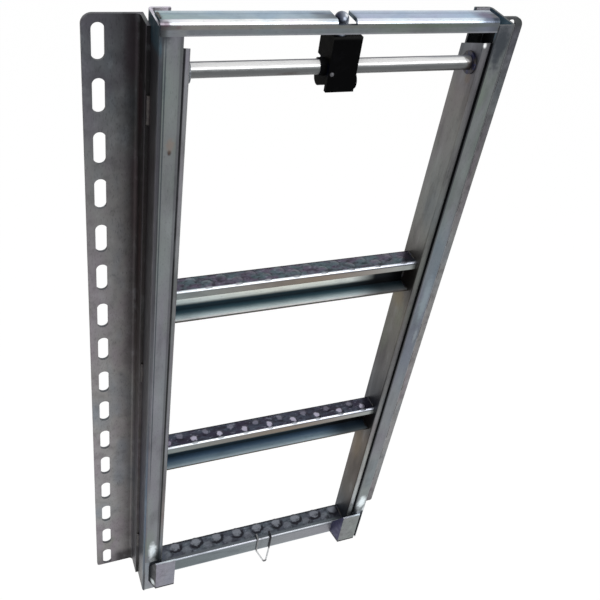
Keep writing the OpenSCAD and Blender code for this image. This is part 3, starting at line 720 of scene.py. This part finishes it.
def bead(form, start, end, thick=None):
    start, end = spot(*start), spot(*end)
    way = end - start
    length = way.length * 1000
    ahead = way.normalized()
    beside = ahead.orthogonal().normalized()
    third = ahead.cross(beside)
    thick = thick or beadSet["thick"]
    count = max(6, int(length / 0.8))
    rings = []
    for i in range(count + 1):
        t = i / count
        swell = 0.86 + 0.14 * abs(math.sin(math.pi * t * length / beadSet["ripple"]))
        close = min(1.0, math.sin(math.pi * min(max(t, 0.02), 0.98)) * 3.0)
        radius = thick / 2 * swell * close / 1000
        shift = (beside * random.uniform(-1, 1) + third * random.uniform(-1, 1)) * beadSet["wobble"] / 2000
        centre = start + way * t + shift
        rings.append([form.verts.new(centre + (beside * math.cos(a) + third * math.sin(a)) * radius)
                      for a in (2 * math.pi * k / 10 for k in range(10))])
    for low, high in zip(rings, rings[1:]):
        for k in range(10):
            form.faces.new([low[k], low[(k + 1) % 10], high[(k + 1) % 10], high[k]])
    form.faces.new(rings[0])
    form.faces.new(rings[-1])


def treadBeads(side):
    x = side * 170.9

    def build(form):
        for top in (652, 352):
            bead(form, (x, -56, top + 0.4), (x, -35, top + 0.4))
            bead(form, (x, -36.6, top - 8), (x, -36.6, top - 48), 3.6)
            bead(form, (x, -55, top - 51.3), (x, -38, top - 51.3), 2.6)
        bead(form, (x, -57, 52.4), (x, -30, 52.4))
    return build


def barBeads(form):
    bead(form, (-202.5, -69, 1001.6), (-202.5, -50, 1001.6), 3.2)
    bead(form, (180.2, -72.6, 989), (180.2, -72.6, 994.4), 3.0)


# Pull loop: one bent wire, pinched together at its lower end
loopSet = {"wire": 3.0, "left": 4.0, "right": 28.0, "face": -63.9, "top": 55.3, "back": -52.4, "bend": 3.0, "straight": 20.0,
           "tip": (24.0, -17.4), "tipBend": 2.6}


def loopPath(v):
    # a hook over the nose on each side, then two runs that meet in a narrow bend
    runs = []
    for x in (v["left"], v["right"]):
        run = [(x, v["back"], v["top"])]
        for k in range(6):
            a = k / 5 * math.pi / 2
            run.append((x, v["face"] + v["bend"] * (1 - math.sin(a)), v["top"] - v["bend"] * (1 - math.cos(a))))
        run.append((x, v["face"], v["straight"]))
        runs.append(run)
    tipX, tipZ = v["tip"]
    bend = []
    for k in range(9):
        a = math.pi * (1.12 + k / 8 * 0.8)
        bend.append((tipX + v["tipBend"] * math.cos(a), v["face"], tipZ + v["tipBend"] * math.sin(a)))
    return runs[0] + bend + runs[1][::-1]


def loopForm(form):
    path = [spot(*p) for p in loopPath(loopSet)]
    radius = loopSet["wire"] / 2000
    rings = []
    beside = Vector((1, 0, 0))
    for i, place in enumerate(path):
        before, after = path[max(i - 1, 0)], path[min(i + 1, len(path) - 1)]
        ahead = (after - before).normalized()
        beside = (beside - ahead * beside.dot(ahead)).normalized()
        third = ahead.cross(beside)
        rings.append([form.verts.new(place + (beside * math.cos(a) + third * math.sin(a)) * radius)
                      for a in (2 * math.pi * k / 12 for k in range(12))])
    for low, high in zip(rings, rings[1:]):
        for k in range(12):
            form.faces.new([low[k], low[(k + 1) % 12], high[(k + 1) % 12], high[k]])
    form.faces.new(rings[0])
    form.faces.new(rings[-1])


# Studio
studioSet = {"ambient": 0.62, "keyPower": 26, "keyPlace": (0.9, -2.3, 2.0), "keySize": 1.6, "fillPower": 10, "floorWhite": 0.9,
             "glow": 1.09, "floorGap": 0.02}


def addStudio(values):
    scene.view_settings.view_transform = "Standard"
    world = bpy.data.worlds.new("world")
    world.use_nodes = True
    scene.world = world
    tree = world.node_tree
    tree.nodes.clear()
    rays = tree.nodes.new("ShaderNodeLightPath")
    seen = tree.nodes.new("ShaderNodeMath")
    seen.operation = "MAXIMUM"
    tree.links.new(rays.outputs["Is Camera Ray"], seen.inputs[0])
    tree.links.new(rays.outputs["Is Glossy Ray"], seen.inputs[1])
    through = tree.nodes.new("ShaderNodeMath")
    through.operation = "MAXIMUM"
    tree.links.new(seen.outputs[0], through.inputs[0])
    tree.links.new(rays.outputs["Is Transmission Ray"], through.inputs[1])
    level = tree.nodes.new("ShaderNodeMapRange")
    level.inputs[3].default_value = values["ambient"]
    level.inputs[4].default_value = 1.0
    tree.links.new(through.outputs[0], level.inputs[0])
    sky = tree.nodes.new("ShaderNodeBackground")
    tree.links.new(level.outputs[0], sky.inputs[1])
    sky.inputs[0].default_value = (1, 1, 1, 1)
    tree.links.new(sky.outputs[0], tree.nodes.new("ShaderNodeOutputWorld").inputs[0])

    for name, power, place, size in (("key", values["keyPower"], values["keyPlace"], values["keySize"]),
                                     ("fill", values["fillPower"], (-2.6, -1.2, 1.0), 1.4)):
        data = bpy.data.lights.new(name, "AREA")
        data.energy, data.size = power, size
        lamp = bpy.data.objects.new(name, data)
        lamp.location = home + Vector(place)
        lamp.rotation_euler = (home + Vector((0, 0, 0.5)) - lamp.location).to_track_quat("-Z", "Y").to_euler()
        scene.collection.objects.link(lamp)

    # pale floor that keeps a soft shadow, low enough for the ladder when it is all the way out
    mesh = bpy.data.meshes.new("floor")
    travel = max(max(j.get("range_m", [0])) for j in frame["record"]["behaviour"]["joints"])
    low = cadLow.z - travel - values["floorGap"]
    mesh.from_pydata([(home.x + x, home.y + y, low) for x, y in ((-20, -20), (20, -20), (20, 20), (-20, 20))], [], [(0, 1, 2, 3)])
    floor = bpy.data.objects.new("floor", mesh)
    scene.collection.objects.link(floor)
    s = Shade("floorPaper")
    light = s.node("LightPath")
    white = s.node("Math", {"operation": "MAXIMUM"}, {0: light, 1: s.node("Math", {"operation": "MAXIMUM"}, {0: light.out(3), 1: light.out(6)})})
    paper = s.node("BsdfDiffuse", {}, {"Color": (values["floorWhite"],) * 3 + (1,)})
    glow = s.node("Emission", {}, {"Color": (1, 1, 1, 1), "Strength": values["glow"]})
    s.node("OutputMaterial", {}, {"Surface": s.node("MixShader", {}, {0: white * 0.82, 1: paper, 2: glow})})
    mesh.materials.append(s.material)


addCamera(cameraSet)
print("camera set")

dress("left_guide_rail", zinc("railZincLeft", leftRailSet))
dress("right_guide_rail", zinc("railZincRight", rightRailSet))
dress("left_mounting_angle", zinc("angleZincLeft", leftAngleSet))
dress("right_mounting_angle", zinc("angleZincRight", rightAngleSet))
dress("top_crossbar", zinc("barZinc", barSet))
dress("left_stile", zinc("stileZincLeft", leftStileSet))
dress("right_stile", zinc("stileZincRight", rightStileSet))
dress("left_front_bracket", zinc("bracketZincLeft", dict(bracketSet, side=-1, marks=[
    # painted highlight on the outer side plate
    {"at": (-188, -80, 34), "reach": (8, 9, 10), "tone": "eef6f8", "strength": 0.9},
])))
dress("right_front_bracket", zinc("bracketZincRight", dict(bracketSet, side=1, front="7a807e")))
print("frame, stiles and brackets plated")

for node, look in (("upper_tread", upperLook(652)), ("middle_tread", middleLook(352)), ("bottom_tread", lowerLook(52))):
    dress(node, treadShade(node.replace("_t", "T") + "Zinc", look))
dress("grab_rod", rodShade("rodZinc", rodSet))
weldGrey = weldShade("weldGrey", ("4a4644", "2c2a2c", "6e6c6c"))
weldDull = weldShade("weldDull", ("3c3836", "2a2628", "56504e"))
weldDark = weldShade("weldDark", ("2a2c38", "32302e", "565250"))
weldBlue = weldShade("weldBlue", ("1e2040", "34302e", "5c5654"))
weldPale = weldShade("weldPale", ("84888c", "585c62", "aeb2b6"))
dress("left_stitch_welds", weldDull)
dress("right_stitch_welds", weldGrey)
dress("left_weld_ring", weldPale)
dress("right_weld_ring", weldBlue)
black = blackShade("latchBlack", blackSet)
dress("latch_body", black)
dress("latch_lever", black)
dress("latch_bolt", boltShade("boltSteel"))
for node in ("left_rubber_strip", "right_rubber_strip"):
    dress(node, rubberShade(node.split("_")[0] + "Rubber", "1c1b1f"))
dress("pull_loop", weldGrey)
print("treads, rod and latch finished")

bright = wireShade("wireZinc")
meshPiece("latchRivet", rivetForm, "latch", weldShade("rivetSteel", ("5c5c60", "4a4a4e", "6c6c70")))
meshPiece("treadBeadsLeft", treadBeads(-1), "ladder", weldDark)
meshPiece("treadBeadsRight", treadBeads(1), "ladder", weldDark)
meshPiece("barBeads", barBeads, "frame", weldGrey)
wire = meshPiece("pullWire", loopForm, "ladder", bright)
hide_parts("pull_loop")
print("welds, rivet and pull loop made")

addStudio(studioSet)
print("studio lit")
